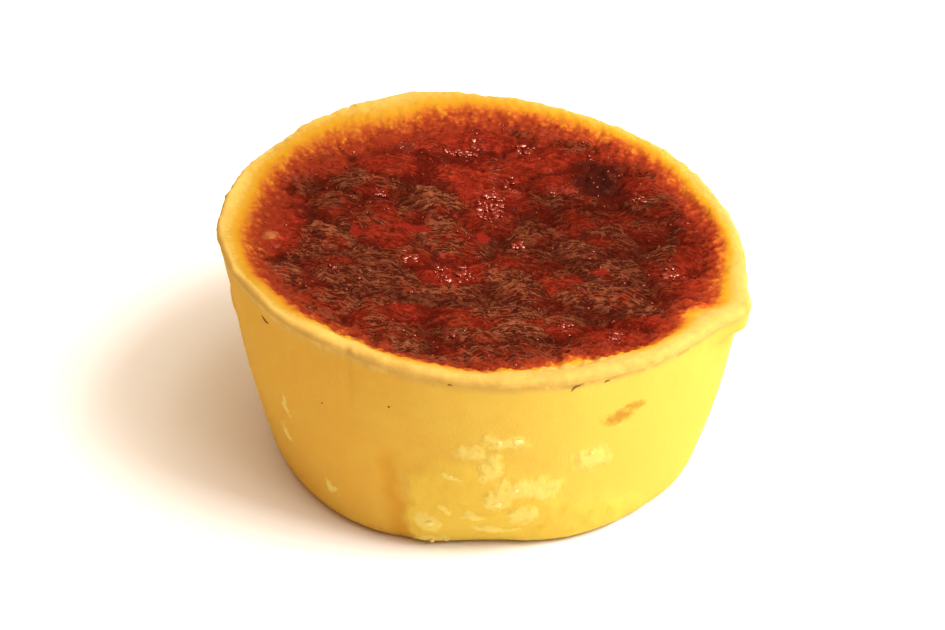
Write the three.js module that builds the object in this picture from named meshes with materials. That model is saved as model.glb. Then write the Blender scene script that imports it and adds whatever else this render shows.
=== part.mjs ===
// A milk tartlet: a small round custard bake of one piece, turned out of its tin.
// The tin shaped the tapered side, a lip rose over the tin's edge, and the browned
// top sank and wrinkled inside that lip. The rim isn't level: it runs down to +X.
// Millimetres, +Z up, origin in the middle of the base, -Y is the front.

import * as THREE from "three";
import { ImprovedNoise } from "three/addons/math/ImprovedNoise.js";
import { mergeVertices } from "three/addons/utils/BufferGeometryUtils.js";

// Driving dimensions
const rimRadius = 33; // outside of the lip
const height = 30; // base to the crest of the rim, on the axis
const rimSlope = 0.084; // fall of the rim for each millimetre towards +X
const baseRadius = 26; // the flat that it stands on
const cornerReach = 1.8; // rounded lower edge, outwards
const cornerRise = 2.2; // rounded lower edge, upwards
const cornerTuck = 0.9; // the lower edge turns in by this before it reaches the base
const wallBelly = 0.6; // the side bows out by this halfway up
const lipOverhang = 0.08; // lip beyond the side under it
const lipDepth = 1; // crest down to the lip's lower edge
const lipRounding = 0.9; // round top of the lip
const slopeWidth = 5.4; // inner slope of the rim, crest to floor
const slopeHandles = { crest: 0.3, foot: 0.45 }; // pulls of the slope's curve, as shares of its width
const slopeFootLift = 0.2; // keeps the foot of the slope from dipping below the floor
const sinkAtRim = 2; // foot of the inner slope below the crest
const sinkAtCentre = 3; // middle of the top below the crest

// Steps round the axis, and along each stretch of the profile
const turns = 96;
const steps = { base: 3, corner: 4, side: 15, underLip: 1, lip: 4, slope: 6, floor: 14 };

// Stretches of the rim that stand out or draw in, by their bearing from +X towards +Y.
// They fade out down the side.
const swellReach = 16;
const swells = [
  { bearing: 20, spread: 20, out: -0.8 },
  { bearing: 103, spread: 17, out: 1.1 },
  { bearing: 148, spread: 17, out: -1.1 },
  { bearing: 190, spread: 14, out: 0.4 },
  { bearing: 240, spread: 16, out: -0.3 },
  { bearing: -18, spread: 8, out: 0.8 },
  { bearing: -60, spread: 20, out: -0.2 },
  { bearing: 60, spread: 18, out: -0.4 },
];

// The spill ran over the rim and set as a flap that ends between two depths below the crest
const spill = { bearing: -23, spread: 6, out: 1.7, drop: 0.9, deepest: 5, full: 3.2 };

// Broad forms of the side, each round a bearing and a level. The base is flattened at the front.
const bulges = [
  { bearing: -13, spread: 18, level: 11, reach: 9, out: 0.5 },
  { bearing: 186, spread: 14, level: 23, reach: 4.5, out: -0.5 },
  { bearing: -90, spread: 15, level: 0, reach: 6, out: -1.6 },
  { bearing: -128, spread: 16, level: 0, reach: 7, out: 0.4 },
  { bearing: -32, spread: 14, level: 0, reach: 7, out: 0.7 },
];

// The patch low on the front where the side lost its skin: it starts at a step with a groove
// beside it, is highest at its peak and falls away with each degree from there
const patch = {
  left: -110,
  step: 3,
  peak: -95,
  top: 20,
  fall: 0.33,
  edge: 2.5,
  out: 0.45,
  grain: 2.6,
  lump: 0.25,
};
const patchWander = { size: 6, turn: 4, rise: 3.5 }; // how far the outline of the patch wanders
const groove = { bearing: -112.5, spread: 2.8, depth: 0.35, full: 12, top: 20 };

// Relief
const lipRagged = { size: 7, out: 0.3, drop: 0.4 };
const crestRagged = { size: 6, rise: 0.4 };
const sideRagged = { size: 11, out: 0.15 };
const lumps = { size: 9, rise: 0.6 }; // broad swellings of the top
const plates = { size: 6, lift: 1.1, crispness: 9 }; // plates of skin, each tipped its own way
const plateSeed = { first: 1000, column: 61, row: 7 };
const noiseGain = 1.6; // brings the noise to about -1 to 1
const layerGap = 17.3; // far enough apart for the layers of noise to differ

const { smoothstep, degToRad, euclideanModulo, seededRandom } = THREE.MathUtils;
const perlin = new ImprovedNoise();

// Smooth noise of about -1 to 1 whose bumps are about size across
function noise(point, size, layer = 0) {
  return noiseGain * perlin.noise(point.x / size, point.y / size, point.z / size + layerGap * layer);
}

// Degrees between two bearings, from -180 to 180
function turnBetween(bearing, from) {
  return euclideanModulo(bearing - from + 180, 360) - 180;
}

// A bell-shaped share, 1 at its own bearing
function bell(bearing, { bearing: middle, spread }) {
  return Math.exp(-((turnBetween(bearing, middle) / spread) ** 2));
}

// The plates lie round scattered points, each tipped its own way and blended into its neighbours
function plateHeight(x, y) {
  const column = Math.floor(x / plates.size);
  const row = Math.floor(y / plates.size);
  let lift = 0;
  let total = 0;
  for (let i = column - 2; i <= column + 2; i++) {
    for (let j = row - 2; j <= row + 2; j++) {
      seededRandom(plateSeed.first + plateSeed.column * i + plateSeed.row * j);
      const dx = x / plates.size - i - seededRandom();
      const dy = y / plates.size - j - seededRandom();
      const way = 2 * Math.PI * seededRandom();
      const share = Math.exp(-plates.crispness * (dx * dx + dy * dy));
      lift += share * (dx * Math.cos(way) + dy * Math.sin(way));
      total += share;
    }
  }
  return (plates.lift * lift) / total;
}

// The profile from the middle of the base out, up the side and in to the middle of the top.
// Each stretch carries the shares of relief that its points take, blended from start to end.
function profileStretches() {
  const at = (radius, z) => new THREE.Vector2(radius, z);
  const cornerRadius = baseRadius + cornerReach;
  const sideTop = at(rimRadius - lipOverhang, height - lipDepth);
  const crest = at(rimRadius - lipRounding, height);
  const foot = at(crest.x - slopeWidth, height - sinkAtRim);
  const cornerTop = at(cornerRadius, cornerRise);
  const sideMiddle = at((cornerTop.x + sideTop.x) / 2 + 2 * wallBelly, (cornerTop.y + sideTop.y) / 2);
  const lipEdge = at(rimRadius, sideTop.y + lipOverhang);
  const none = { wall: 0, side: 0, outer: 0, lip: 0, crest: 0, floor: 0 };
  const onEdge = { ...none, wall: 1 };
  const onSide = { ...onEdge, side: 1, outer: 1 };
  const onLip = { ...none, outer: 1, lip: 1 };
  const onCrest = { ...onLip, crest: 1 };
  const onFloor = { ...none, floor: 1 };
  return [
    { steps: steps.base, from: none, to: onEdge, curve: new THREE.LineCurve(at(0, 0), at(baseRadius, 0)) },
    {
      steps: steps.corner,
      from: onEdge,
      to: onSide,
      curve: new THREE.QuadraticBezierCurve(at(baseRadius, 0), at(cornerRadius - cornerTuck, 0), cornerTop),
    },
    {
      steps: steps.side,
      from: onSide,
      to: onSide,
      curve: new THREE.QuadraticBezierCurve(cornerTop, sideMiddle, sideTop),
    },
    {
      steps: steps.underLip,
      from: onSide,
      to: onLip,
      curve: new THREE.QuadraticBezierCurve(sideTop, at(rimRadius, sideTop.y), lipEdge),
    },
    {
      steps: steps.lip,
      from: onLip,
      to: onCrest,
      curve: new THREE.CubicBezierCurve(
        lipEdge,
        at(rimRadius, height - lipRounding),
        at(rimRadius, height),
        crest,
      ),
    },
    {
      steps: steps.slope,
      from: onCrest,
      to: onFloor,
      curve: new THREE.CubicBezierCurve(
        crest,
        at(crest.x - slopeHandles.crest * slopeWidth, height),
        at(foot.x + slopeHandles.foot * slopeWidth, foot.y + slopeFootLift),
        foot,
      ),
    },
    {
      steps: steps.floor,
      from: onFloor,
      to: onFloor,
      curve: new THREE.QuadraticBezierCurve(
        foot,
        at(foot.x / 2, height - sinkAtCentre),
        at(0, height - sinkAtCentre),
      ),
    },
  ];
}

// The stretches as one list of points, each with its shares of relief
function profilePoints() {
  const points = [];
  for (const stretch of profileStretches()) {
    for (let i = points.length ? 1 : 0; i <= stretch.steps; i++) {
      const t = i / stretch.steps;
      const shares = {};
      for (const kind in stretch.from) {
        shares[kind] = THREE.MathUtils.lerp(stretch.from[kind], stretch.to[kind], t);
      }
      points.push({ place: stretch.curve.getPoint(t), shares });
    }
  }
  return points;
}

// The share of the patch at a place on the side
function patchShare(point, bearing) {
  const wander = noise(point, patchWander.size, 3);
  const ceiling = patch.top - Math.abs(bearing - patch.peak) * patch.fall;
  const sideways = smoothstep(bearing - patch.left + patchWander.turn * wander, 0, patch.step);
  return sideways * smoothstep(ceiling - point.z + patchWander.rise * wander, 0, patch.edge);
}

// How far the rim's swells and the spill move a point out, by its level below the crest
function rimOut(point, bearing) {
  const swellShare = smoothstep(point.z, height - swellReach, height - lipDepth);
  const spillShare = smoothstep(point.z, height - spill.deepest, height - spill.full);
  let out = lipRagged.out * noise(point, lipRagged.size);
  for (const swell of swells) out += swell.out * bell(bearing, swell);
  return swellShare * out + spillShare * spill.out * bell(bearing, spill);
}

// How far the broad forms of the side move a point out
function wallOut(point, bearing) {
  let out = 0;
  for (const bulge of bulges) {
    const away = (point.z - bulge.level) / bulge.reach;
    out += bulge.out * bell(bearing, bulge) * Math.exp(-(away ** 2));
  }
  return out;
}

// How far the patch, its groove and the side's unevenness move a point out
function sideOut(point, bearing) {
  const grain = patch.out + patch.lump * noise(point, patch.grain, 4);
  const grooveShare = bell(bearing, groove) * (1 - smoothstep(point.z, groove.full, groove.top));
  return (
    sideRagged.out * noise(point, sideRagged.size, 5) +
    patchShare(point, bearing) * grain -
    groove.depth * grooveShare
  );
}

// One point of the turned form, moved by its shares of relief
function relieved(point, shares) {
  const bearing = THREE.MathUtils.radToDeg(Math.atan2(point.y, point.x));
  const outward = new THREE.Vector3(point.x, point.y, 0).normalize();
  const out =
    shares.outer * rimOut(point, bearing) +
    shares.wall * wallOut(point, bearing) +
    shares.side * sideOut(point, bearing);
  const hang = lipRagged.drop * noise(point, lipRagged.size, 2) + spill.drop * bell(bearing, spill);
  const rise =
    shares.crest * crestRagged.rise * noise(point, crestRagged.size, 1) -
    (shares.lip - shares.crest) * hang +
    shares.floor * (lumps.rise * noise(point, lumps.size, 6) + plateHeight(point.x, point.y));
  const moved = point.clone().addScaledVector(outward, out);
  moved.z += rise;
  moved.z *= 1 - (rimSlope * moved.x) / height;
  return moved;
}

function tartletGeometry() {
  const profile = profilePoints();
  const turned = new THREE.LatheGeometry(
    profile.map(({ place }) => place),
    turns,
  );
  turned.rotateX(degToRad(90));
  const position = turned.getAttribute("position");
  const point = new THREE.Vector3();
  for (let i = 0; i < position.count; i++) {
    point.fromBufferAttribute(position, i);
    const moved = relieved(point, profile[i % profile.length].shares);
    position.setXYZ(i, moved.x, moved.y, moved.z);
  }
  turned.deleteAttribute("normal");
  turned.deleteAttribute("uv");
  const merged = mergeVertices(turned, 1e-3);
  merged.computeVertexNormals();
  return merged;
}

const bakedCustard = new THREE.MeshStandardMaterial({ color: 0xe9b23f, roughness: 0.5, metalness: 0 });
const tartlet = new THREE.Mesh(tartletGeometry(), bakedCustard);
tartlet.name = "tartlet";

const part = new THREE.Group();
part.add(tartlet);

export default part;
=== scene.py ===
import math
import bpy
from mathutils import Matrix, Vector


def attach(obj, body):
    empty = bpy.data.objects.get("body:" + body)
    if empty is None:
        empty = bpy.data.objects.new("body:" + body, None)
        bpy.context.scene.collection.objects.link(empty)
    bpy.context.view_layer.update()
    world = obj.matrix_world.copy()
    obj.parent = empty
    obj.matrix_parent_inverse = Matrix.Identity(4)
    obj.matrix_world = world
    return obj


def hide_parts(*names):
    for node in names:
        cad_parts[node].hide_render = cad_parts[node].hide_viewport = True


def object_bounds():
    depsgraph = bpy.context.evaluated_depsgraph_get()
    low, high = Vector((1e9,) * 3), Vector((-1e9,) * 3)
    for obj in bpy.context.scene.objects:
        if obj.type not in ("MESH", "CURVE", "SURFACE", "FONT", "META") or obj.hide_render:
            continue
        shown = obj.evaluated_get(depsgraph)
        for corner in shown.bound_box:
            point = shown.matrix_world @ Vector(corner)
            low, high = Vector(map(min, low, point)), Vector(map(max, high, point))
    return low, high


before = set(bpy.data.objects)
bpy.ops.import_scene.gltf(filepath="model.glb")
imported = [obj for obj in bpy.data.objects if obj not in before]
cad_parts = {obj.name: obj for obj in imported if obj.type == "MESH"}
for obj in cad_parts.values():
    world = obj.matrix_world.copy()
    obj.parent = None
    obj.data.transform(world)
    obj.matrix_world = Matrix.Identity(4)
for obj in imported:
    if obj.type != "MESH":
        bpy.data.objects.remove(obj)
cadLow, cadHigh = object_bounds()
mm = 0.001
imageWidth = 945  # pixels of the picture
layerStep = (13.7, -7.9, 5.3)  # takes each layer of noise to a place of its own
noiseMiddle = 0.5
noiseGain = 2.6  # brings a noise to about -1 to 1


class Wire:  # one value in a node tree; arithmetic on it adds Math nodes
    def __init__(self, plan, socket):
        self.plan = plan
        self.socket = socket

    def __add__(self, other):
        return self.plan.math("ADD", self, other)

    def __sub__(self, other):
        return self.plan.math("SUBTRACT", self, other)

    def __rsub__(self, other):
        return self.plan.math("SUBTRACT", other, self)

    def __mul__(self, other):
        return self.plan.math("MULTIPLY", self, other)

    def __truediv__(self, other):
        return self.plan.math("DIVIDE", self, other)

    def __neg__(self):
        return self.plan.math("MULTIPLY", self, -1.0)

    def __abs__(self):
        return self.plan.math("ABSOLUTE", self)

    __radd__ = __add__
    __rmul__ = __mul__


class Plan:  # builds one node tree, of geometry or of a material
    def __init__(self, tree):
        self.tree = tree

    def put(self, kind, feeds=None, **settings):
        node = self.tree.nodes.new(kind)
        for name, value in settings.items():
            setattr(node, name, value)
        for name, value in (feeds or {}).items():
            self.feed(node.inputs[name], value)
        return node

    def feed(self, socket, value):
        if isinstance(value, Wire):
            self.tree.links.new(value.socket, socket)
        else:
            socket.default_value = value

    def wire(self, node, output=0):
        return Wire(self, node.outputs[output])

    def math(self, operation, *values):
        node = self.put("ShaderNodeMath", dict(enumerate(values)), operation=operation)
        return self.wire(node)

    def most(self, a, b):
        return self.math("MAXIMUM", a, b)

    def sum(self, values):
        total = values[0]
        for value in values[1:]:
            total = total + value
        return total

    def blend(self, parts, weights):  # sum of the named parts, each by its weight
        return self.sum([parts[name] * weight for name, weight in weights.items()])

    def split(self, vector):
        node = self.put("ShaderNodeSeparateXYZ", {0: vector})
        return [self.wire(node, axis) for axis in range(3)]

    def join(self, x, y, z=0.0):
        return self.wire(self.put("ShaderNodeCombineXYZ", {0: x, 1: y, 2: z}))

    def scale(self, vector, by):
        return self.wire(self.put("ShaderNodeVectorMath", {0: vector, "Scale": by}, operation="SCALE"))

    def ramp(self, value, low, high, soft=True):  # 0 at low, 1 at high, held outside
        kind = "SMOOTHSTEP" if soft else "LINEAR"
        feeds = {"Value": value, "From Min": low, "From Max": high}
        return self.wire(self.put("ShaderNodeMapRange", feeds, interpolation_type=kind))

    def mix(self, share, a, b):
        return self.wire(self.put("ShaderNodeMix", {0: share, 2: a, 3: b}, data_type="FLOAT"))

    def mixColour(self, share, a, b, blend="MIX"):
        feeds = {0: share, 6: a, 7: b}
        return self.wire(self.put("ShaderNodeMix", feeds, data_type="RGBA", blend_type=blend), 2)

    def cover(self, ground, layers):  # lays each colour over the ground by its share
        for share, tint in layers:
            ground = self.mixColour(share, ground, tint)
        return ground

    def noise(self, place, size, detail=2.0, layer=0.0, rough=0.5):  # about -1 to 1
        moved = self.join(*[axis + step * layer for axis, step in zip(self.split(place), layerStep)])
        feeds = {"Vector": moved, "Scale": 1 / size, "Detail": detail, "Roughness": rough}
        found = self.wire(self.put("ShaderNodeTexNoise", feeds))
        return (found - noiseMiddle) * noiseGain

    def waver(self, place, wave, **settings):  # noise of a size that goes so far either way
        size, far = wave
        return self.noise(place, size, **settings) * far

    def cells(self, place, flat=True):
        space = "2D" if flat else "3D"
        return self.put("ShaderNodeTexVoronoi", {"Vector": place, "Scale": 1.0}, voronoi_dimensions=space)

    def bearing(self, x, y):  # degrees from +X towards +Y
        return self.math("ARCTAN2", y, x) * (180 / math.pi)

    def bell(self, bearing, middle, spread):  # 1 at the middle bearing, in degrees
        away = self.math("WRAP", bearing - middle, 180.0, -180.0) / spread
        return self.math("EXPONENT", -(away * away))

    def spot(self, x, y, at):  # 1 at a place, 0 at its reach
        middleX, middleY, reachX, reachY = at
        across = (x - middleX) / reachX
        along = (y - middleY) / reachY
        return 1.0 - (across * across + along * along)

    def spots(self, x, y, places):  # the highest of several, and no less than -1
        found = self.spot(x, y, places[0])
        for at in places[1:]:
            found = self.most(found, self.spot(x, y, at))
        return self.most(found, -1.0)

    def position(self):
        return self.wire(self.put("GeometryNodeInputPosition"))

    def normal(self):
        return self.wire(self.put("GeometryNodeInputNormal"))

    def store(self, geometry, name, value):  # keeps a value on every point
        feeds = {"Geometry": geometry, "Name": name, "Value": value}
        node = self.put("GeometryNodeStoreNamedAttribute", feeds, data_type="FLOAT", domain="POINT")
        return self.wire(node)

    def recall(self, name):
        return self.wire(self.put("GeometryNodeInputNamedAttribute", {"Name": name}, data_type="FLOAT"))

    def chance(self, least, most, seed):
        feeds = {2: least, 3: most, "Seed": seed}
        return self.wire(self.put("FunctionNodeRandomValue", feeds, data_type="FLOAT"), 1)


def colour(red, green, blue):  # screen values, 0 to 255, as linear light
    def linear(part):  # the usual screen curve
        part = part / 255
        return part / 12.92 if part <= 0.04045 else ((part + 0.055) / 1.055) ** 2.4

    return (linear(red), linear(green), linear(blue), 1.0)


def namedInputs(plan, sizes):
    for name, value in sizes.items():
        socket = plan.tree.interface.new_socket(name, in_out="INPUT", socket_type="NodeSocketFloat")
        socket.default_value = value
    source = plan.put("NodeGroupInput")
    return {name: plan.wire(source, name) for name in sizes}


def newPlan(name):
    tree = bpy.data.node_groups.new(name, "GeometryNodeTree")
    tree.interface.new_socket("Geometry", in_out="OUTPUT", socket_type="NodeSocketGeometry")
    return Plan(tree)


def finishPlan(plan, geometry, material):
    real = plan.put("GeometryNodeRealizeInstances", {"Geometry": geometry})
    dressed = plan.put("GeometryNodeSetMaterial", {"Geometry": plan.wire(real), "Material": material})
    plan.feed(plan.put("NodeGroupOutput").inputs[0], plan.wire(dressed))


def makePiece(name, plan, sizes):  # runs the tree and keeps its result as a plain mesh
    piece = bpy.data.objects.new(name, bpy.data.meshes.new(name + "Seed"))
    bpy.context.scene.collection.objects.link(piece)
    modifier = piece.modifiers.new("form", "NODES")
    modifier.node_group = plan.tree
    for item in plan.tree.interface.items_tree:
        if item.in_out == "INPUT":
            modifier[item.identifier] = float(sizes[item.name])
    graph = bpy.context.evaluated_depsgraph_get()
    made = bpy.data.meshes.new_from_object(
        piece.evaluated_get(graph), preserve_all_data_layers=True, depsgraph=graph
    )
    piece.modifiers.clear()
    piece.data = made
    made.name = name
    faces = sum(len(face.vertices) - 2 for face in made.polygons)
    print(f"{name}: {len(made.vertices)} vertices, {faces} triangles")
    return piece


# The tartlet, in millimetres. Its overall sizes come from model.glb.
rimSlope = 0.084  # fall of the rim for each millimetre towards +X
rimRadius = (cadHigh.x - cadLow.x) / 2 / mm
tartlet = {
    "rimRadius": rimRadius,
    "height": cadHigh.z / mm - rimSlope * rimRadius,
    "rimSlope": rimSlope,
    "baseRadius": 26.0,
    "cornerReach": 1.8,
    "cornerRise": 2.2,
    "wallBelly": 0.6,
    "lipOverhang": 0.02,
    "lipDepth": 1.0,
    "lipRounding": 0.9,
    "slopeWidth": 5.4,
    "swellReach": 16.0,
    "sinkAtRim": 2.0,
    "sinkAtCentre": 3.0,
    "lipRagged": 0.3,
    "crestRagged": 0.4,
    "hangRagged": 0.12,
    "sideRagged": 0.15,
    "curdRise": 0.3,
    "crumbRise": 0.32,
    "grainRise": 0.08,
    "lumpRise": 0.7,
    "plateRise": 0.8,
    "wrinkleRise": 0.32,
    "tornOut": 0.45,
    "tornLump": 0.25,
    "flakeOut": 0.18,
    "grooveIn": 0.35,
}
meshDensity = {"across": 212, "rows": 60}
cubeSide = 2.0  # the cube that the tartlet is bent from
facingDown = -0.5  # faces that look down more than this are cut away
weldDistance = 0.02
topStretches = {"floor": (0.0, 0.775), "slope": (0.775, 0.915), "lip": (0.915, 1.0)}  # from the middle out
sideStretches = {"under": (0.0, 0.05), "side": (0.05, 0.82), "corner": (0.82, 1.0)}  # from the lip down
rowCrowding = 0.4  # brings the rows low down the side closer
handles = {  # of the profile's curves
    "slopeFoot": 0.45,  # share of the slope's width
    "slopeCrest": 0.3,
    "footLift": 0.2,  # millimetres
    "cornerTuck": 0.9,
}
swells = [  # bearing from +X towards +Y in degrees, spread, how far out
    (20, 20, -0.8), (103, 17, 1.1), (148, 17, -1.1), (190, 14, 0.4), (240, 16, -0.3),
    (-17, 8, 0.45), (172, 9, -0.3), (-119.8, 0.9, -0.25), (-60, 20, -0.2), (60, 18, -0.4),
]
spill = {"bearing": -23, "spread": 6, "out": 1.8, "ends": (5.0, 3.2)}  # ends below the crest
bulges = [  # broad forms of the side: bearing, spread, level, reach up and down, how far out
    (-13, 18, 11, 9, 0.5), (186, 14, 23, 4.5, -0.5), (-90, 15, 0, 6, -1.6), (-128, 16, 0, 7, 0.4),
    (-32, 14, 0, 7, 0.7), (187.6, 8, 21, 0.9, 0.4),
]
relief = {  # sizes of the lumps and waves, and where each kind starts and is whole
    "hang": 4.0,
    "lip": 7.0,
    "side": 11.0,
    "crest": 6.0,
    "crestGrain": 0.9,
    "tornLump": 2.6,
    "crumb": 2.2,
    "crumbRoughness": 0.62,
    "crumbAtFront": 0.3,
    "crumbAtBack": 0.7,  # more than at the front
    "curdGrain": 1.2,
    "curdGrainShare": 0.6,
    "curdWave": (2.6, 0.5),  # size, how far
    "flake": (-0.1, 0.7),
    "back": (-14.0, 14.0),
    "ringStart": (0.4, 1.8),
    "ringEnd": (4.0, 9.0),
}

# The browning of the top, which starts inside the lip and is widest at the back left
bake = {
    "inset": 1.4,  # from the outside of the lip
    "start": 0.15,
    "rightStart": 0.9,  # more at the right
    "width": 5.6,
    "backWidth": 1.0,
    "leftWidth": 1.0,
    "widest": (126, 24, 1.9),  # bearing, spread, how much more
    "none": -1.0,
}
bakeEdge = [  # where it starts further in: bearing, spread, how far
    (115, 15, 1.5), (172, 18, 1.2), (-70, 11, 2.4), (-123, 10, 1.5), (-108, 7, -0.3), (-30, 5, 1.2),
    (5, 10, -0.7), (140, 12, 0.4), (-152, 6, -0.4), (-90, 18, 0.8), (-58, 6, 0.5), (45, 15, -0.5),
]

# The skin of the top lies in overlapping plates. A wave is its size and how far it goes.
plate = {
    "across": 7.6,
    "along": 4.6,
    "arch": 0.9,
    "bendAcross": (5.0, 1.8),
    "bendAlong": (5.0, 1.5),
    "sideFall": 1.8,
    "farFall": 0.5,
    "nearFall": 1.5,
}
folds = {
    "wave": (5.0, 0.8),
    "ripple": (1.7, 0.3),
    "sway": (3.5, 0.9),
    "length": 2.8,
    "gap": 1.0,
    "width": 0.4,
}
broadWrinkles = {"length": 3.0, "gap": 0.8, "width": 0.19}
fineWrinkles = {"length": 1.6, "gap": 0.5, "width": 0.17}
fineShare = 0.8
grainEdge = (0.1, 0.8)  # from the top of a grain to its gap
skinRelief = {
    "lump": 10.0,
    "lift": (0.4, 0.6),  # least rise of a plate, and what chance adds
    "ridgeMiddle": 0.5,
    "bare": (-0.4, 0.6),
    "bareLoss": 0.6,
    "window": (0.0, 0.4),
    "windowLoss": 0.8,
    "char": (0.0, 0.6),
    "charGrain": 1.7,
    "charRise": 0.3,
    "charSink": 0.2,
}

# Places on the top, by their middle and reach, across and along
markBend = {"across": (3.0, 1.0), "along": (3.0, 0.8)}  # waves of their edges
topPlaces = {
    "bare": [  # little skin
        (-2.0, 20.0, 15.0, 6.5), (1.0, 12.0, 4.5, 6.0), (-4.0, -6.0, 4.5, 3.0), (13.5, 17.5, 6.0, 5.5),
        (20.0, -19.0, 8.0, 3.5), (-27.0, 3.0, 4.0, 10.0), (27.5, -2.0, 3.0, 12.0), (-8.0, -16.0, 3.0, 1.6),
    ],
    "window": [  # smooth and red
        (-8.9, 2.8, 2.8, 1.2), (-0.1, 2.0, 1.2, 1.5), (-16.2, 0.5, 0.8, 1.3), (14.5, -4.9, 1.5, 1.0),
        (-2.0, 12.4, 0.8, 2.2),
    ],
    "char": [(14.6, 15.6, 4.2, 3.6), (15.6, 19.2, 4.0, 2.2)],
    "toast": [  # darker than the rest
        (13.0, 4.0, 16.0, 11.0), (-20.0, 8.0, 8.0, 6.0), (9.0, -0.6, 2.6, 1.4), (11.4, -5.4, 2.2, 1.8),
        (-15.5, -7.0, 8.0, 5.0),
    ],
    "smudge": [
        (-27.8, -7.2, 0.8, 1.4), (-25.6, -7.9, 1.4, 1.8), (-20.6, -1.0, 1.2, 1.6), (-24.5, 9.0, 1.0, 1.6),
    ],
    "tan": [(-26.9, -2.5, 1.3, 1.6), (27.3, -13.4, 1.7, 0.9)],  # pale lumps of custard on the caramel
}
wetSpots = [  # clusters of syrup beads
    (0.7, 9.3, 2.4, 4.2), (3.0, 14.7, 1.2, 1.7), (-9.3, -4.2, 2.0, 1.7), (-4.0, -6.8, 2.8, 2.4),
    (4.2, 0.5, 1.0, 0.8), (23.4, -5.7, 1.2, 1.4), (15.7, -18.8, 1.6, 1.2), (9.9, -18.0, 1.4, 1.0),
    (-1.2, 23.5, 1.0, 1.8), (5.3, 23.2, 1.5, 1.2), (-3.5, 21.2, 3.0, 0.8), (-2.8, -21.0, 1.4, 1.0),
    (8.5, 12.4, 1.0, 0.8), (-13.0, 10.2, 1.0, 0.9), (20.0, 12.0, 1.2, 1.0), (-18.5, -9.0, 1.3, 1.0),
]
dampness = {
    "dust": 0.09,  # a few small beads everywhere on the top
    "wave": (2.2, 0.45),
    "dry": 0.11,
    "backRing": 0.16,
    "ends": (5.0, 3.4),  # in from the rim
}

# The torn patch low on the front, with its pale flakes: bearing and level, and reach in millimetres
torn = {
    "left": -110,
    "peak": -95,
    "top": 20.0,
    "fall": 0.33,  # from the peak, for each degree
    "wander": 5.0,
    "leftWander": 4.0,
    "topWander": 3.5,
    "leftEdge": (0.0, 3.0),
    "topEdge": (0.0, 5.0),
}
flakes = [
    (-104.1, 5.2, 1.6, 1.9), (-93.2, 18.2, 1.7, 1.6), (-97.7, 14.5, 0.6, 0.5), (-85.2, 20.2, 2.2, 1.1),
    (-80.0, 12.0, 4.4, 1.9), (-88.6, 15.9, 1.3, 2.3), (-100.0, 8.1, 0.8, 0.8), (-87.2, 10.2, 1.3, 1.7),
    (-80.6, 7.2, 1.5, 1.9), (-92.3, 6.7, 1.5, 1.0), (-88.0, 3.8, 2.6, 0.8), (-66.0, 15.6, 2.6, 2.0),
    (-142.6, 15.6, 0.7, 1.8), (-146.0, 10.0, 0.9, 1.6), (-131.0, 6.0, 0.8, 1.3), (-103.0, 1.0, 3.4, 0.8),
]
flakeEdge = {"across": (2.4, 1.7), "along": (2.4, 1.3), "crumble": (1.3, 0.8), "roughness": 0.65}
groove = {  # beside the patch, fading between two levels
    "bearing": -112.5,
    "spread": 2.8,
    "ends": (12.0, 20.0),
    "bend": (4.0, 2.5),
}
stain = [(-59.8, 21.8, 2.4, 1.3), (-56.2, 22.9, 1.6, 0.9)]
stainFray = (0.8, 0.35)
degreeLength = 0.5  # millimetres round the side in each degree


def bow(t, start, bend, end):  # quadratic curve, measured from its start
    return 2 * t * (1 - t) * (bend - start) + t * t * (end - start)


def swing(t, start, first, second, end):  # cubic curve, measured from its start
    early = 3 * t * (1 - t) * (1 - t) * (first - start)
    late = 3 * t * t * (1 - t) * (second - start)
    return early + late + t * t * t * (end - start)


def discFromSquare(plan, x, y):  # unit direction and reach of a point of the square
    wide = plan.math("LESS_THAN", abs(y), abs(x))
    lead = plan.mix(wide, y, x)
    turn = plan.mix(wide, x, y) / lead * (math.pi / 4)
    along = plan.math("COSINE", turn) * lead
    across = plan.math("SINE", turn) * lead
    reach = plan.most(abs(x), abs(y))
    return plan.mix(wide, across, along) / reach, plan.mix(wide, along, across) / reach, reach


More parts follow.
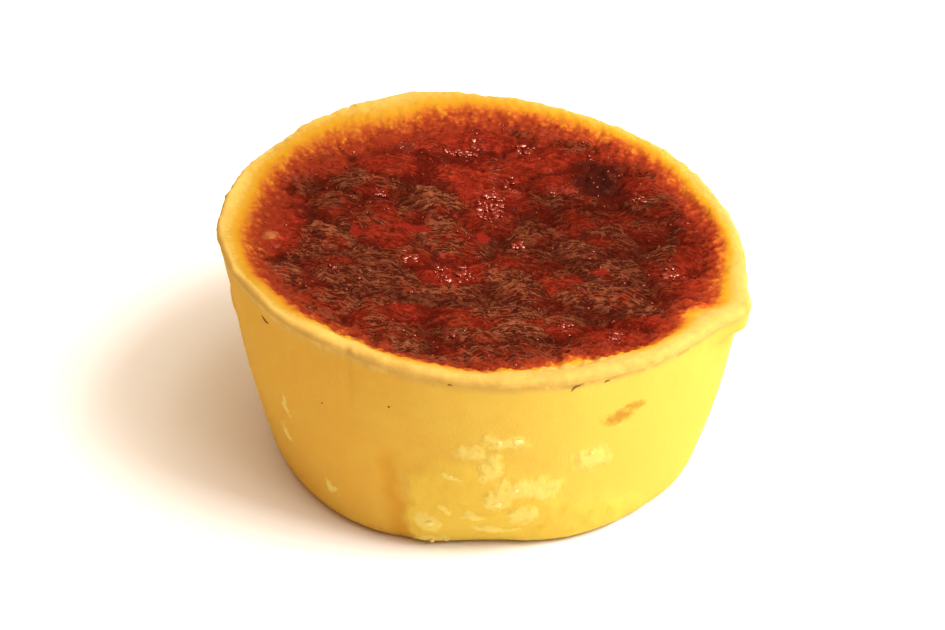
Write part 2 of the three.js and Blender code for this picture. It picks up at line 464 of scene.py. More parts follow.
def profile(plan, size, reach, down):  # radius and level, and the steps along each stretch
    step = {name: plan.ramp(reach, *ends, soft=False) for name, ends in topStretches.items()}
    for name, ends in sideStretches.items():
        step[name] = plan.ramp(down, *ends, soft=False)
    step["side"] = step["side"] * (1 + rowCrowding - step["side"] * rowCrowding)
    rim, height = size["rimRadius"], size["height"]
    crest = rim - size["lipRounding"]
    foot = crest - size["slopeWidth"]
    footLevel = height - size["sinkAtRim"]
    middleLevel = height - size["sinkAtCentre"]
    sideTop = rim - size["lipOverhang"]
    sideTopLevel = height - size["lipDepth"]
    lipLevel = sideTopLevel + size["lipOverhang"]
    corner = size["baseRadius"] + size["cornerReach"]
    cornerLevel = size["cornerRise"]
    belly = (corner + sideTop) * 0.5 + size["wallBelly"] * 2  # the curve reaches half way to its handle
    bellyLevel = (cornerLevel + sideTopLevel) * 0.5
    slopeFoot = foot + size["slopeWidth"] * handles["slopeFoot"]
    slopeCrest = crest - size["slopeWidth"] * handles["slopeCrest"]
    radius = plan.sum([
        step["floor"] * foot,
        swing(step["slope"], foot, slopeFoot, slopeCrest, crest),
        swing(step["lip"], crest, rim, rim, rim),
        bow(step["under"], rim, rim, sideTop),
        bow(step["side"], sideTop, belly, corner),
        bow(step["corner"], corner, corner - handles["cornerTuck"], size["baseRadius"]),
    ])
    level = plan.sum([
        middleLevel,
        bow(step["floor"], middleLevel, middleLevel, footLevel),
        swing(step["slope"], footLevel, footLevel + handles["footLift"], height, height),
        swing(step["lip"], height, height, height - size["lipRounding"], lipLevel),
        bow(step["under"], lipLevel, sideTopLevel, sideTopLevel),
        bow(step["side"], sideTopLevel, bellyLevel, cornerLevel),
        bow(step["corner"], cornerLevel, 0.0, 0.0),
    ])
    return radius, level, step


def creases(plan, skin, lines, detail, layer):  # 1 on lines along the skin's rows, 0 between them
    cell = plan.join(skin["column"] / lines["length"], skin["row"] / lines["gap"])
    return 1 - plan.ramp(abs(plan.noise(cell, 1.0, detail, layer)), 0.0, lines["width"])


def topSkin(plan, x, y):  # plates that rise to an arched far edge, with folds; mesh and material share it
    flat = plan.join(x, y)
    acrossCell = (x + plan.waver(flat, plate["bendAcross"], detail=3, layer=3)) / plate["across"]
    alongCell = (y + plan.waver(flat, plate["bendAlong"], detail=3, layer=4)) / plate["along"]
    cell = plan.cells(plan.join(acrossCell, alongCell))
    middle = plan.split(plan.wire(cell, "Position"))
    chance = plan.split(plan.wire(cell, "Color"))
    across, along = acrossCell - middle[0], alongCell - middle[1]
    fall = plan.most(along * plate["farFall"], along * -plate["nearFall"])
    wave = plan.waver(flat, folds["wave"], layer=1) + plan.waver(flat, folds["ripple"], layer=8)
    skin = {
        "dome": 1 - across * across * plate["sideFall"] - fall * fall,
        "lift": chance[0],
        "tone": chance[1],
        "along": along,
        "row": y + wave + across * across * plate["along"] * plate["arch"],
        "column": x + plan.waver(flat, folds["sway"], layer=2),
    }
    skin["ridge"] = creases(plan, skin, folds, 1, 5)
    return skin


def strands(plan, skin):  # fine wrinkles along the folds of the skin
    broad = creases(plan, skin, broadWrinkles, 2, 6)
    fine = creases(plan, skin, fineWrinkles, 2, 27)
    return plan.most(broad, fine * fineShare)


def grains(plan, place, size):  # rounded lumps, 1 on top and -1 in the gaps
    cell = plan.cells(plan.scale(place, 1 / size), flat=False)
    return 1 - plan.ramp(plan.wire(cell, "Distance"), *grainEdge) * 2


def topFields(plan, x, y):
    flat = plan.join(x, y)
    bentX = x + plan.waver(flat, markBend["across"], detail=3, layer=23)
    bentY = y + plan.waver(flat, markBend["along"], detail=3, layer=24)
    fields = {name: plan.spots(bentX, bentY, places) for name, places in topPlaces.items()}
    fields["wet"] = plan.spots(x, y, wetSpots)
    return fields


def topRise(plan, size, x, y, fields):
    flat = plan.join(x, y)
    skin = topSkin(plan, x, y)
    least, more = skinRelief["lift"]
    lift = skin["lift"] * more + least
    covered = 1 - plan.ramp(fields["bare"], *skinRelief["bare"]) * skinRelief["bareLoss"]
    smooth = 1 - plan.ramp(fields["window"], *skinRelief["window"]) * skinRelief["windowLoss"]
    burnt = grains(plan, flat, skinRelief["charGrain"]) * skinRelief["charRise"] - skinRelief["charSink"]
    return plan.sum([
        plan.noise(flat, skinRelief["lump"], layer=6) * size["lumpRise"],
        skin["dome"] * lift * covered * size["plateRise"],
        smooth * (skin["ridge"] - skinRelief["ridgeMiddle"]) * size["wrinkleRise"],
        plan.ramp(fields["char"], *skinRelief["char"]) * burnt,
    ])


def bakeDepth(plan, inward, bearing):  # 0 at the pale crest, 1 where the top is dark
    angle = bearing * (math.pi / 180)
    right = plan.math("COSINE", angle)
    middle, spread, more = bake["widest"]
    width = plan.math("SINE", angle) * bake["backWidth"] - right * bake["leftWidth"] + bake["width"]
    width = width + plan.bell(bearing, middle, spread) * more
    later = plan.sum([plan.bell(bearing, at, reach) * far for at, reach, far in bakeEdge])
    return (inward - bake["start"] - plan.most(right, 0.0) * bake["rightStart"] - later) / width


def roundSide(spots):  # from bearings to millimetres round the side
    return [(turn * degreeLength, rise, wide, high) for turn, rise, wide, high in spots]


def bulged(plan, bearing, level):
    shares = []
    for at, spread, middle, reach, out in bulges:
        away = (level - middle) / reach
        shares.append(plan.bell(bearing, at, spread) * plan.math("EXPONENT", -(away * away)) * out)
    return plan.sum(shares)


def sideFields(plan, bearing, level, place):  # mesh and material share it
    wander = plan.noise(place, torn["wander"], detail=3, layer=9)
    left = plan.ramp(bearing - torn["left"] + wander * torn["leftWander"], *torn["leftEdge"])
    ceiling = torn["top"] - abs(bearing - torn["peak"]) * torn["fall"]
    tear = left * plan.ramp(ceiling - level + wander * torn["topWander"], *torn["topEdge"])
    x = bearing * degreeLength
    bentX = x + plan.waver(place, flakeEdge["across"], detail=4, layer=15)
    bentZ = level + plan.waver(place, flakeEdge["along"], detail=4, layer=16)
    fray = plan.waver(place, stainFray, detail=3, layer=34)
    crumble = plan.waver(place, flakeEdge["crumble"], detail=4, layer=35, rough=flakeEdge["roughness"])
    bent = bearing + plan.waver(place, groove["bend"], detail=3, layer=38)
    below = 1 - plan.ramp(level, *groove["ends"])
    return {
        "torn": tear,
        "flake": plan.spots(bentX, bentZ, roundSide(flakes)) + crumble,
        "stain": plan.spots(x + fray, level + fray, roundSide(stain)),
        "groove": plan.bell(bent, groove["bearing"], groove["spread"]) * below,
    }


def solePlan(plan, size, density):  # the flat underside, with the edge of the body
    disc = plan.put(
        "GeometryNodeMeshCircle",
        {"Vertices": 4 * density["across"], "Radius": size["baseRadius"]},
        fill_type="TRIANGLE_FAN",
    )
    x, y, z = plan.split(plan.position())
    grow = 1 + bulged(plan, plan.bearing(x, y), z) / size["baseRadius"]
    feeds = {"Geometry": plan.wire(disc), "Position": plan.join(x * grow, y * grow)}
    fitted = plan.put("GeometryNodeSetPosition", feeds)
    return plan.wire(plan.put("GeometryNodeFlipFaces", {"Mesh": plan.wire(fitted)}))


def tartletPlan(sizes, density, material):
    plan = newPlan("tartletForm")
    size = namedInputs(plan, sizes)
    count = density["across"] + 1
    cube = plan.put("GeometryNodeMeshCube", {
        "Size": (cubeSide, cubeSide, cubeSide),
        "Vertices X": count,
        "Vertices Y": count,
        "Vertices Z": density["rows"] + 1,
    })
    under = plan.math("LESS_THAN", plan.split(plan.normal())[2], facingDown)
    cut = {"Geometry": plan.wire(cube), "Selection": under}
    geometry = plan.wire(plan.put("GeometryNodeDeleteGeometry", cut, domain="FACE"))
    x, y, z = plan.split(plan.position())
    turnX, turnY, reach = discFromSquare(plan, x, y)
    radius, level, step = profile(plan, size, reach, (1 - z) / cubeSide)
    bearing = plan.bearing(turnX, turnY)
    flatX, flatY = turnX * radius, turnY * radius
    place = plan.join(flatX, flatY, level)
    onLip = step["slope"] * (1 - step["under"])
    onCrest = step["slope"] * (1 - step["lip"])
    onSide = step["under"] * (1 - step["corner"])
    onFloor = 1 - step["slope"]
    top = topFields(plan, flatX, flatY)
    side = sideFields(plan, bearing, level, place)
    swell = plan.sum([plan.bell(bearing, at, spread) * out for at, spread, out in swells])
    swellStart, swellEnd = size["height"] - size["swellReach"], size["height"] - size["lipDepth"]
    swelling = step["slope"] * plan.ramp(level, swellStart, swellEnd)
    spillShare = plan.bell(bearing, spill["bearing"], spill["spread"])
    spillLow, spillHigh = (size["height"] - depth for depth in spill["ends"])
    flap = step["slope"] * plan.ramp(level, spillLow, spillHigh) * spillShare
    hang = plan.noise(place, relief["hang"], detail=3, layer=12) * size["hangRagged"] * (1 - spillShare)
    inward = size["rimRadius"] - bake["inset"] - radius
    ringShare = plan.ramp(inward, *relief["ringStart"]) * (1 - plan.ramp(inward, *relief["ringEnd"]))
    ring = ringShare * (1 - step["lip"])
    curdWave = plan.waver(place, relief["curdWave"], detail=3, layer=25)
    curd = grains(plan, place, relief["curdGrain"]) * relief["curdGrainShare"] + curdWave
    crumbly = plan.noise(place, relief["crumb"], detail=5, layer=26, rough=relief["crumbRoughness"])
    backShare = plan.ramp(flatY, *relief["back"])
    crumbShare = backShare * relief["crumbAtBack"] + relief["crumbAtFront"]
    crumbRise = crumbly * size["crumbRise"] * crumbShare
    tornLump = plan.noise(place, relief["tornLump"], detail=3, layer=13) * size["tornLump"]
    out = plan.sum([
        swelling * (swell + plan.noise(place, relief["lip"], layer=10) * size["lipRagged"]),
        onLip * crumbRise,
        flap * spill["out"],
        step["under"] * bulged(plan, bearing, level),
        onSide * (1 - swelling) * plan.noise(place, relief["side"], layer=14) * size["sideRagged"],
        onSide * side["torn"] * (size["tornOut"] + tornLump),
        onSide * plan.ramp(side["flake"], *relief["flake"]) * size["flakeOut"],
        -(onSide * side["groove"] * size["grooveIn"]),
    ])
    rise = plan.sum([
        onCrest * (plan.noise(place, relief["crest"], layer=11) * size["crestRagged"] + crumbRise),
        -((onLip - onCrest) * hang),
        onFloor * topRise(plan, size, flatX, flatY, top),
        ring * curd * size["curdRise"],
        onCrest * grains(plan, place, relief["crestGrain"]) * backShare * size["grainRise"],
    ])
    beadStart, beadEnd = (size["rimRadius"] - depth for depth in dampness["ends"])
    onTop = (1 - plan.ramp(radius, beadStart, beadEnd)) * (1 - step["under"])
    damp = plan.waver(place, dampness["wave"], detail=3, layer=37) - dampness["dry"]
    damp = damp + ring * backShare * dampness["backRing"]
    marks = dict(top)
    marks["baked"] = plan.mix(step["lip"], bakeDepth(plan, inward, bearing), bake["none"])
    marks["ring"] = ring
    marks["wet"] = plan.most(plan.most(top["wet"], damp), dampness["dust"]) * onTop
    marks["curd"] = plan.mix(ring, crumbly, curd)
    marks["flake"] = side["flake"] * step["under"] - (1 - step["under"])
    for name, value in marks.items():
        geometry = plan.store(geometry, name, value)
    endX, endY = turnX * (radius + out), turnY * (radius + out)
    endZ = (level + rise) * (1 - size["rimSlope"] * endX / size["height"])
    feeds = {"Geometry": geometry, "Position": plan.join(endX, endY, endZ)}
    shaped = plan.put("GeometryNodeSetPosition", feeds)
    whole = plan.put("GeometryNodeJoinGeometry")
    plan.feed(whole.inputs[0], plan.wire(shaped))
    plan.feed(whole.inputs[0], solePlan(plan, size, density))
    sealed = plan.put("GeometryNodeMergeByDistance", {"Geometry": plan.wire(whole), "Distance": weldDistance})
    smooth = plan.put("GeometryNodeSetShadeSmooth", {"Geometry": plan.wire(sealed)})
    scaled = plan.put("GeometryNodeTransform", {"Geometry": plan.wire(smooth), "Scale": (mm, mm, mm)})
    finishPlan(plan, plan.wire(scaled), material)
    return plan


# Baked custard, from the pale side to the dark caramel of the top
custard = {
    "side": colour(198, 153, 60),
    # painted light: the side is drawn lighter towards the right, where the lamp falls
    "paintedLitSide": colour(203, 175, 74),
    "shade": colour(190, 138, 44),
    "lip": colour(176, 139, 66),
    # painted light on the lip at the left, which faces away from the lamp
    "paintedLipLight": colour(214, 182, 96),
    "tan": colour(176, 118, 66),
    "crumbly": colour(192, 163, 84),
    "torn": colour(204, 174, 67),
    "flake": colour(212, 194, 104),
    "stain": colour(160, 104, 24),
    # dark caramel for the darker patches, and painted shade where it is laid in creases, pits and valleys
    "darkCaramelAndShade": colour(46, 8, 3),
    "skin": colour(124, 68, 43),
    "oldSkin": colour(85, 51, 29),
    "rust": colour(118, 46, 26),
    "glow": colour(140, 46, 28),
    "ember": colour(146, 42, 24),
    "window": colour(116, 28, 17),
    # painted glow, warming the red under the glints of wet places
    "paintedGlintGlow": colour(150, 50, 26),
    "burnt": colour(38, 14, 9),
    "browning": [
        (0.0, colour(178, 146, 64)),
        (0.15, colour(186, 146, 54)),
        (0.26, colour(188, 134, 30)),
        (0.33, colour(181, 112, 32)),
        (0.39, colour(168, 87, 30)),
        (0.47, colour(149, 63, 26)),
        (0.58, colour(133, 46, 22)),
        (0.75, colour(122, 38, 19)),
        (1.0, colour(105, 25, 11)),
    ],
}
storedMarks = ("baked", "curd", "ring", "bare", "window", "char", "toast", "smudge", "tan")
topPatterns = {  # noises over the top: size in millimetres, detail, layer, roughness
    "speck": (1.1, 3, 17, 0.5),
    "blotch": (3.2, 3, 18, 0.5),
    "crisp": (0.6, 3, 31, 0.6),
    "patch": (3.0, 3, 7, 0.5),
    "pits": (1.5, 4, 29, 0.7),
    "damp": (1.6, 3, 33, 0.5),
}
wholePatterns = {  # the same, all over the body
    "grit": (1.2, 4, 19, 0.65),
    "cloud": (5.0, 5, 32, 0.6),
    "hollows": (2.4, 4, 39, 0.6),
    "dots": (0.9, 2, 36, 0.5),
    "grain": (0.35, 3, 21, 0.5),
    "ripple": (0.5, 2, 28, 0.5),
}
spokes = {"size": 1.3, "stretch": 0.25}  # streaks towards the middle
ringGrain = 0.7
mottle = {"patch": 0.2, "speck": 0.17, "crisp": 0.17, "spokes": 0.08, "curd": -0.17, "ringGrain": -0.09}
depthEnds = (-0.3, 1.0)  # of the baked mark, for the ends of the browning
skinCover = {"along": 0.3, "tone": 0.65, "blotch": 0.65, "speck": 0.4, "crisp": 0.2, "bareShare": -0.7}
skinLess = 0.18
looks = {  # the parts that make up each look, and the sums where it starts and is whole
    "mottled": ({"baked": 1.0}, (-0.1, 0.5)),
    "dark": ({"depth": 1.0}, (0.54, 0.96)),
    "deep": ({"depth": 1.0}, (0.42, 0.66)),
    "firm": ({"depth": 1.0}, (0.15, 0.4)),
    "bareShare": ({"bare": 1.0}, (-0.6, 0.4)),
    "line": ({"strand": 1.0, "ridge": 0.15, "crisp": 0.15}, (0.1, 1.1)),
    "window": ({"window": 1.0, "speck": 0.7, "blotch": 0.4}, (0.0, 0.7)),
    "skin": ({"shown": 1.0}, (-0.4, 0.3)),
    "rust": ({"shown": 1.0}, (0.3, -0.15)),
    "browned": ({"tone": 0.6, "blotch": 0.4, "crisp": 0.5}, (-0.2, 0.9)),
    "raised": ({"dome": 1.0, "speck": 0.3, "crisp": 0.2}, (0.3, 0.85)),
    "ember": ({"speck": 0.7, "crisp": 0.6, "blotch": 0.4, "bareShare": 0.3}, (0.15, 0.9)),
    "pit": ({"pits": 1.0, "bareShare": -0.1}, (0.0, 0.7)),
    "toast": ({"toast": 1.0}, (-0.3, 0.6)),
    "smudge": ({"smudge": 1.0, "speck": 0.5}, (0.0, 0.8)),
    "tan": ({"tan": 1.0, "speck": 0.8, "crisp": 0.6}, (0.0, 1.2)),
    "char": ({"char": 1.0, "speck": 0.7, "crisp": 0.4}, (-0.4, 1.0)),
    "damp": ({"damp": 1.0, "blotch": 0.5}, (0.15, 0.8)),
    "paintedGlintGlow": ({"crisp": 1.0}, (-0.3, 0.7)),
    # painted light: lighter towards +X, where the lamp falls, with some cloudy tone
    "paintedLightShare": ({"x": 1.0, "cloud": 12.0}, (-24.0, 16.0)),
    "groove": ({"groove": 1.0, "cloud": 0.2}, (0.0, 1.0)),
    "torn": ({"torn": 1.0, "grit": 0.3}, (0.0, 1.0)),
    "hollow": ({"hollows": 1.0}, (0.0, 0.8)),
    "flake": ({"flake": 1.0, "grit": 0.8}, (-0.5, 1.0)),
    "dots": ({"dots": 1.0}, (0.6, 1.0)),
    "stain": ({"stain": 1.0, "grit": 1.1}, (-0.2, 1.1)),
    "crumbly": ({"curd": 0.5, "grit": 0.5, "x": 0.012}, (-0.5, 0.8)),
    "paintedLipLight": ({"x": 1.0}, (4.0, -26.0)),
    "lip": ({"level": 1.0, "grit": 0.35}, (tartlet["height"] - 2.4, tartlet["height"] - 0.7)),
    "left": ({"x": 1.0}, (rimRadius, -rimRadius)),
    "top": ({"baked": 1.0, "crisp": 0.1}, (-0.3, 0.0)),
}
strength = {  # how far each look covers what is under it
    "ember": 0.8,
    "darkCaramelAndShade": 0.4,
    "creaseOnSkin": 0.6,  # more than elsewhere
    "pit": 0.85,
    "glow": 0.25,
    "skin": 0.12,
    "skinOnLine": 0.8,  # more than elsewhere
    "toast": 0.35,
    "paintedValleyShadow": 0.6,
    "window": 0.8,
    "smudge": 0.65,
    "tan": 0.4,
    "char": 0.85,
    "paintedGlintGlow": 0.7,
    "groove": 0.7,
    "torn": 0.7,
    "hollow": 0.35,
    "flake": 0.75,
    "dots": 0.35,
    "stain": 0.7,
    "paintedLipLight": 0.3,
}
paintedRingLight = (1.1, 0.7)  # painted light and shade of the browned ring: its colour is scaled by these at the right and the left
finish = {
    "roughness": 0.75,
    "gloss": 0.01,
    "softness": 0.3,  # light let in by the pale custard
    "softReach": (1.0, 0.5, 0.15),
    "softDepth": 2.5 * mm,
    "grain": 0.25,
    "bump": 0.5,
    "bumpDepth": 0.2 * mm,
    "glaze": 0.15,
    "glazeRoughness": 0.12,
    "glazeBend": 1.9,
    "glazeBump": 1.0,
    "glazeDepth": 0.35 * mm,
}


def newMaterial(name):
    material = bpy.data.materials.new(name)
    material.use_nodes = True
    material.node_tree.nodes.clear()
    return material, Plan(material.node_tree)


def colourRamp(plan, value, stops):
    node = plan.put("ShaderNodeValToRGB", {"Fac": value})
    points = node.color_ramp.elements
    while len(points) < len(stops):
        points.new(0.5)
    for point, (where, tint) in zip(points, stops):
        point.position = where
        point.color = tint
    return plan.wire(node)


def custardParts(plan, point):  # what the looks are made of
    x, y, z = plan.split(point)
    flat = plan.join(x, y)
    level = z / (1 - x * (rimSlope / tartlet["height"]))
    parts = topSkin(plan, x, y)
    parts["strand"] = strands(plan, parts)
    parts.update(sideFields(plan, plan.bearing(x, y), level, plan.join(x, y, level)))
    parts["x"] = x
    parts["level"] = level
    for name in storedMarks:
        parts[name] = plan.wire(plan.put("ShaderNodeAttribute", attribute_name=name), "Fac")
    for name, pattern in topPatterns.items():
        parts[name] = plan.noise(flat, *pattern)
    for name, pattern in wholePatterns.items():
        parts[name] = plan.noise(point, *pattern)
    radius = plan.math("SQRT", x * x + y * y)
    streak = plan.join(x / radius * rimRadius, y / radius * rimRadius, radius * spokes["stretch"])
    parts["spokes"] = plan.noise(streak, spokes["size"], layer=30)
    parts["ringGrain"] = grains(plan, point, ringGrain) * parts["ring"]
    return parts


def custardMaterial():
    material, plan = newMaterial("bakedCustard")
    point = plan.scale(plan.wire(plan.put("ShaderNodeTexCoord"), "Object"), 1 / mm)
    parts = custardParts(plan, point)

    def look(name):
        weights, ends = looks[name]
        return plan.ramp(plan.blend(parts, weights), *ends)

    mottling = plan.blend(parts, mottle) * look("mottled")
    parts["depth"] = plan.ramp(parts["baked"] + mottling, *depthEnds, soft=False)
    parts["bareShare"] = look("bareShare")
    parts["shown"] = plan.blend(parts, skinCover) - skinLess
    dark, deep, line = look("dark"), look("deep"), look("line")
    window = look("window") * dark
    skin = look("skin") * dark * (1 - window)
    # painted shadow in the valleys between the raised plates of skin
    paintedValleyShadow = (1 - look("raised")) * dark * (1 - window)
    pit = look("pit") * deep
    wet = plan.most(dark * (1 - skin), parts["ring"]) * look("damp")
    flake = look("flake")
    creaseShare = skin * strength["creaseOnSkin"] + strength["darkCaramelAndShade"]
    skinShare = (line * strength["skinOnLine"] + strength["skin"]) * (1 - pit * strength["pit"])
    brown = plan.mixColour(look("browned"), custard["oldSkin"], custard["skin"])
    brown = plan.mixColour(look("rust"), brown, custard["rust"])
    caramel = plan.cover(colourRamp(plan, parts["depth"], custard["browning"]), [
        (look("ember") * dark * strength["ember"], custard["ember"]),
        # dark caramel with painted shade between the wrinkle lines and in pits
        (dark * (1 - line) * creaseShare, custard["darkCaramelAndShade"]),
        (pit * strength["pit"], custard["darkCaramelAndShade"]),
        (dark * line * (1 - skin) * strength["glow"], custard["glow"]),
        (skin * skinShare, brown),
        (look("toast") * dark * strength["toast"], custard["darkCaramelAndShade"]),
        (paintedValleyShadow * strength["paintedValleyShadow"], custard["darkCaramelAndShade"]),
        (window * strength["window"], custard["window"]),
        (look("smudge") * deep * strength["smudge"], custard["darkCaramelAndShade"]),
        (look("tan") * strength["tan"], custard["tan"]),
        (look("char") * strength["char"], custard["burnt"]),
        # painted glow around the glints of wet places
        (wet * look("paintedGlintGlow") * dark * strength["paintedGlintGlow"], custard["paintedGlintGlow"]),
    ])
    # painted light and shade: the browned ring is lighter at the right and darker at the left
    light = plan.mix(look("left"), *paintedRingLight)
    caramel = plan.mixColour(1 - dark, caramel, plan.join(light, light, light), blend="MULTIPLY")
    rim = plan.mixColour(look("crumbly"), custard["lip"], custard["crumbly"])
    # painted light: the lip is made paler at the left, where it is in shade
    rim = plan.mixColour(look("paintedLipLight") * strength["paintedLipLight"], rim, custard["paintedLipLight"])
    # the side, with painted light making it lighter towards the right
    pale = plan.mixColour(look("paintedLightShare"), custard["side"], custard["paintedLitSide"])
    pale = plan.cover(pale, [
        # painted shade in the groove beside the torn patch, and in hollows across the patch
        (look("groove") * strength["groove"], custard["shade"]),
        (look("torn") * strength["torn"], custard["torn"]),
        (look("hollow") * parts["torn"] * strength["hollow"], custard["shade"]),
        (plan.most(flake * strength["flake"], look("dots") * strength["dots"]), custard["flake"]),
        (look("stain") * strength["stain"], custard["stain"]),
        (look("lip"), rim),
    ])
    roughened = parts["grain"] * finish["grain"] + (parts["strand"] - pit) * dark + flake
    bump = plan.put("ShaderNodeBump", {
        "Height": roughened, "Strength": finish["bump"], "Distance": finish["bumpDepth"],
    })
    glaze = plan.put("ShaderNodeBump", {
        "Height": parts["ripple"], "Strength": finish["glazeBump"], "Distance": finish["glazeDepth"],
    })
    shader = plan.put("ShaderNodeBsdfPrincipled", {
        "Base Color": plan.mixColour(look("top"), pale, caramel),
        "Roughness": finish["roughness"],
        "Specular IOR Level": finish["gloss"],
        "Subsurface Weight": plan.mix(look("firm"), finish["softness"], 0.0),
        "Subsurface Radius": finish["softReach"],
        "Subsurface Scale": finish["softDepth"],
        "Normal": plan.wire(bump),
        "Coat Weight": wet * finish["glaze"],
        "Coat Roughness": finish["glazeRoughness"],
        "Coat IOR": finish["glazeBend"],
        "Coat Normal": plan.wire(glaze),
    })
    plan.put("ShaderNodeOutputMaterial", {"Surface": plan.wire(shader)})
    return material


bakedCustard = custardMaterial()
body = makePiece("tartlet_bake", tartletPlan(tartlet, meshDensity, bakedCustard), tartlet)
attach(body, "root")
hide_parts("tartlet")
print("tartlet made")


# Small things scattered over the tartlet where one of its marks is high
beads = {"share": 3.4e6, "least": 0.06, "most": 0.42, "flatness": 0.6, "seed": 4, "rough": 0.6}
crumbs = {"share": 0.14e6, "least": 0.18, "most": 0.45, "flatness": 0.5, "seed": 2, "rough": 0.5}
syrup = {"colour": colour(104, 18, 9), "roughness": 0.08, "gloss": 0.9, "sheen": colour(255, 208, 184)}
crumb = {"colour": colour(222, 196, 112), "roughness": 0.6, "gloss": 0.1, "sheen": colour(255, 255, 255)}
scattered = {
    "crowding": (0.0, 0.6),  # marks between which they get closer
    "growing": (0.0, 0.4),  # and larger
    "smallest": 0.35,
    "stretch": (0.5, 1.9),
    "lump": 0.4,
    "finer": 2,  # splits of the ball's faces
    "sizeSeed": 1,
    "stretchSeed": 3,
}


def plainMaterial(name, surface):
    material, plan = newMaterial(name)
    shader = plan.put("ShaderNodeBsdfPrincipled", {
        "Base Color": surface["colour"],
        "Roughness": surface["roughness"],
        "Specular IOR Level": surface["gloss"],
        "Specular Tint": surface["sheen"],
    })
    plan.put("ShaderNodeOutputMaterial", {"Surface": plan.wire(shader)})
    return material


def scatterPlan(name, ground, markName, sizes, material):
    plan = newPlan(name)
    size = namedInputs(plan, sizes)
    source = plan.put("GeometryNodeObjectInfo", {"Object": ground})
    mark = plan.recall(markName)
    spread = plan.put("GeometryNodeDistributePointsOnFaces", {
        "Mesh": plan.wire(source, "Geometry"),
        "Density": plan.ramp(mark, *scattered["crowding"]) * size["share"],
        "Seed": int(sizes["seed"]),
    })
    ball = plan.put("GeometryNodeMeshIcoSphere", {"Radius": mm, "Subdivisions": scattered["finer"]})
    smallest = scattered["smallest"]
    growth = plan.ramp(mark, *scattered["growing"]) * (1 - smallest) + smallest
    width = plan.chance(size["least"], size["most"], scattered["sizeSeed"]) * growth
    points = plan.store(plan.wire(spread, "Points"), "girth", width)
    girth = plan.recall("girth")
    length = girth * plan.chance(*scattered["stretch"], scattered["stretchSeed"])
    grown = plan.put("GeometryNodeInstanceOnPoints", {
        "Points": points,
        "Instance": plan.wire(ball, "Mesh"),
        "Rotation": plan.wire(spread, "Rotation"),
        "Scale": plan.join(length, girth, girth * size["flatness"]),
    })
    real = plan.put("GeometryNodeRealizeInstances", {"Geometry": plan.wire(grown)})
    lump = plan.noise(plan.scale(plan.position(), 1 / mm), scattered["lump"])
    shift = plan.scale(plan.normal(), lump * girth * size["rough"] * mm)
    shaped = plan.put("GeometryNodeSetPosition", {"Geometry": plan.wire(real), "Offset": shift})
    smooth = plan.put("GeometryNodeSetShadeSmooth", {"Geometry": plan.wire(shaped)})
    finishPlan(plan, plan.wire(smooth), material)
    return plan


def scatter(name, markName, sizes, material):
    piece = makePiece(name, scatterPlan(name + "Form", body, markName, sizes, material), sizes)
    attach(piece, "root")


scatter("syrup_beads", "wet", beads, plainMaterial("syrup", syrup))
scatter("side_crumbs", "flake", crumbs, plainMaterial("crumb", crumb))
print("beads and crumbs made")


# Dark flecks stuck to the side: bearing, level, length and width, and turn from upright in degrees
flecks = [
    (-143.5, 29.4, 1.5, 0.4, -75), (-70.8, 27.6, 1.5, 0.34, 50), (-63.7, 27.3, 0.8, 0.3, 75),
    (-97.0, 29.2, 0.6, 0.3, 80), (-110.5, 24.2, 0.35, 0.3, 0), (-128.0, 21.0, 0.3, 0.25, 0),
    (35.0, 26.0, 0.9, 0.35, 40), (152.0, 22.5, 0.7, 0.3, 20), (78.0, 17.0, 0.5, 0.3, 60),
    (174.0, 32.3, 1.3, 0.5, 35),
]
fleckLooks = {"colour": colour(112, 80, 38), "roughness": 0.8, "gloss": 0.05, "sheen": colour(255, 255, 255)}
fleckShape = {"around": 6, "along": 7, "tip": 0.08, "bend": 0.15, "bendTurn": 4, "flatness": 0.5}
fleckStart = 0.1  # metres from the axis, outside the tartlet


def makeFlecks():
    around, along, tip = fleckShape["around"], fleckShape["along"], fleckShape["tip"]
    points, faces = [], []
    for bearing, level, length, width, turn in flecks:
        outward = Vector((math.cos(math.radians(bearing)), math.sin(math.radians(bearing)), 0))
        place, normal = body.ray_cast(outward * fleckStart + Vector((0, 0, level * mm)), -outward)[1:3]
        sideways = Vector((0, 0, 1)).cross(normal).normalized()
        upright = normal.cross(sideways)
        lean = math.radians(turn)
        axis = upright * math.cos(lean) + sideways * math.sin(lean)
        across = normal.cross(axis)
        first = len(points)
        for i in range(along):
            share = i / (along - 1)
            thick = width / 2 * math.sin(math.pi * (tip + (1 - 2 * tip) * share))
            bend = fleckShape["bend"] * math.sin(fleckShape["bendTurn"] * share)
            middle = place + axis * ((share - 0.5) * length * mm) + across * (bend * length * mm)
            for j in range(around):
                angle = 2 * math.pi * j / around
                away = across * math.cos(angle) + normal * (fleckShape["flatness"] * math.sin(angle))
                points.append(middle + away * thick * mm)
        for i in range(along - 1):
            for j in range(around):
                low, high = first + i * around, first + (i + 1) * around
                after = (j + 1) % around
                faces.append((low + j, low + after, high + after, high + j))
        faces.append(tuple(range(first + around - 1, first - 1, -1)))
        faces.append(tuple(range(first + (along - 1) * around, first + along * around)))
    mesh = bpy.data.meshes.new("side_flecks")
    mesh.from_pydata(points, [], faces)
    mesh.materials.append(plainMaterial("fleck", fleckLooks))
    piece = bpy.data.objects.new("side_flecks", mesh)
    bpy.context.scene.collection.objects.link(piece)
    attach(piece, "root")


makeFlecks()
print("flecks made")


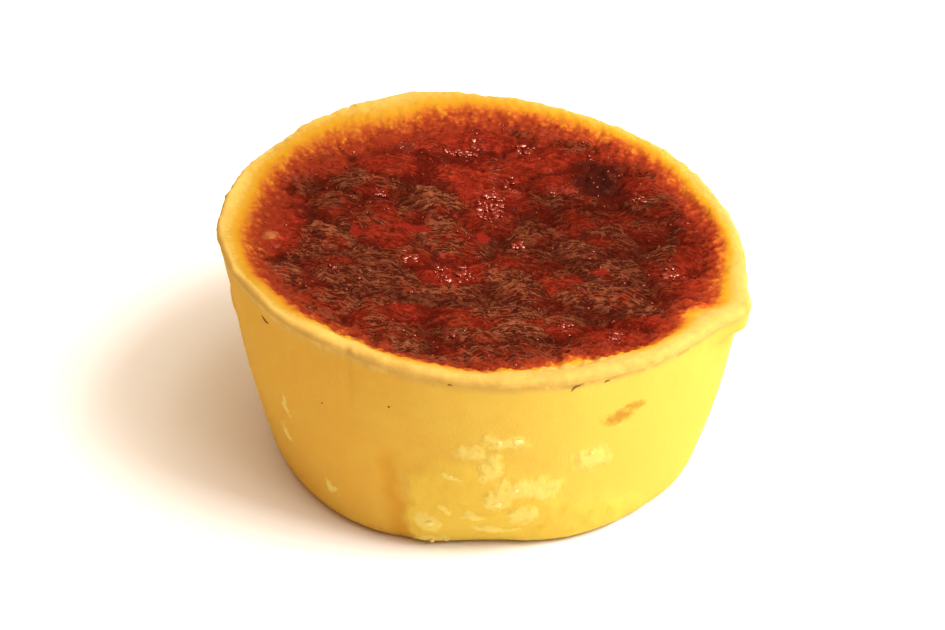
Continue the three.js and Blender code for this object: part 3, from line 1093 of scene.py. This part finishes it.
# Floor, light and camera
studio = {
    "floorSize": 4.0,
    "floorColour": (0.9, 0.9, 0.9, 1.0),
    "floorRoughness": 0.7,
    "sky": (1.0, 0.55, 0.31, 1.0),
    "skyStrength": 0.455,
}
softboxes = {  # bearing and height in degrees, distance and size in metres, power in watts
    "key": {"bearing": -20, "height": 50, "distance": 0.9, "size": 0.45, "power": 10.8, "tint": (1, 1, 1)},
    "soft": {"bearing": -20, "height": 55, "distance": 0.9, "size": 0.9, "power": 7.2, "tint": (1, 1, 1)},
    "top": {"bearing": 180, "height": 85, "distance": 1.2, "size": 1.0, "power": 5.9, "tint": (1, 1, 0.76)},
}
view = {
    "elevation": 34.45,  # degrees
    "distance": 396 * mm,
    "aim": Vector((0, 0, 16.5 * mm)),
    "sensor": 36.0,  # width in millimetres
    "lens": 118.2,
    "shiftX": -11.8 / imageWidth,
    "shiftY": 1.5 / imageWidth,
    "nearest": 10 * mm,
}


def makeFloor():
    half = studio["floorSize"] / 2
    corners = [(-half, -half, 0), (half, -half, 0), (half, half, 0), (-half, half, 0)]
    mesh = bpy.data.meshes.new("floor")
    mesh.from_pydata(corners, [], [(0, 1, 2, 3)])
    floor = bpy.data.objects.new("floor", mesh)
    bpy.context.scene.collection.objects.link(floor)
    material, plan = newMaterial("paleFloor")
    shader = plan.put("ShaderNodeBsdfPrincipled", {
        "Base Color": studio["floorColour"], "Roughness": studio["floorRoughness"],
    })
    plan.put("ShaderNodeOutputMaterial", {"Surface": plan.wire(shader)})
    mesh.materials.append(material)


def aimAt(thing, place, target):
    thing.location = place
    thing.rotation_euler = (target - place).to_track_quat("-Z", "Y").to_euler()


def makeLight():
    for name, box in softboxes.items():
        light = bpy.data.lights.new(name, "AREA")
        light.shape = "SQUARE"
        light.size = box["size"]
        light.energy = box["power"]
        light.color = box["tint"]
        lamp = bpy.data.objects.new(name, light)
        bpy.context.scene.collection.objects.link(lamp)
        turn, rise = math.radians(box["bearing"]), math.radians(box["height"])
        way = Vector((math.cos(turn) * math.cos(rise), math.sin(turn) * math.cos(rise), math.sin(rise)))
        aimAt(lamp, view["aim"] + way * box["distance"], view["aim"])
    world = bpy.data.worlds.new("studio")
    world.use_nodes = True
    sky = world.node_tree.nodes["Background"]
    sky.inputs["Color"].default_value = studio["sky"]
    sky.inputs["Strength"].default_value = studio["skyStrength"]
    bpy.context.scene.world = world
    bpy.context.scene.view_settings.view_transform = "Standard"


def makeCamera():
    data = bpy.data.cameras.new("camera")
    data.sensor_width = view["sensor"]
    data.lens = view["lens"]
    data.shift_x = view["shiftX"]
    data.shift_y = view["shiftY"]
    data.clip_start = view["nearest"]
    camera = bpy.data.objects.new("camera", data)
    bpy.context.scene.collection.objects.link(camera)
    tilt = math.radians(view["elevation"])
    back = Vector((0, -math.cos(tilt), math.sin(tilt)))
    aimAt(camera, view["aim"] + back * view["distance"], view["aim"])
    bpy.context.scene.camera = camera


makeFloor()
makeLight()
makeCamera()
print("studio made")
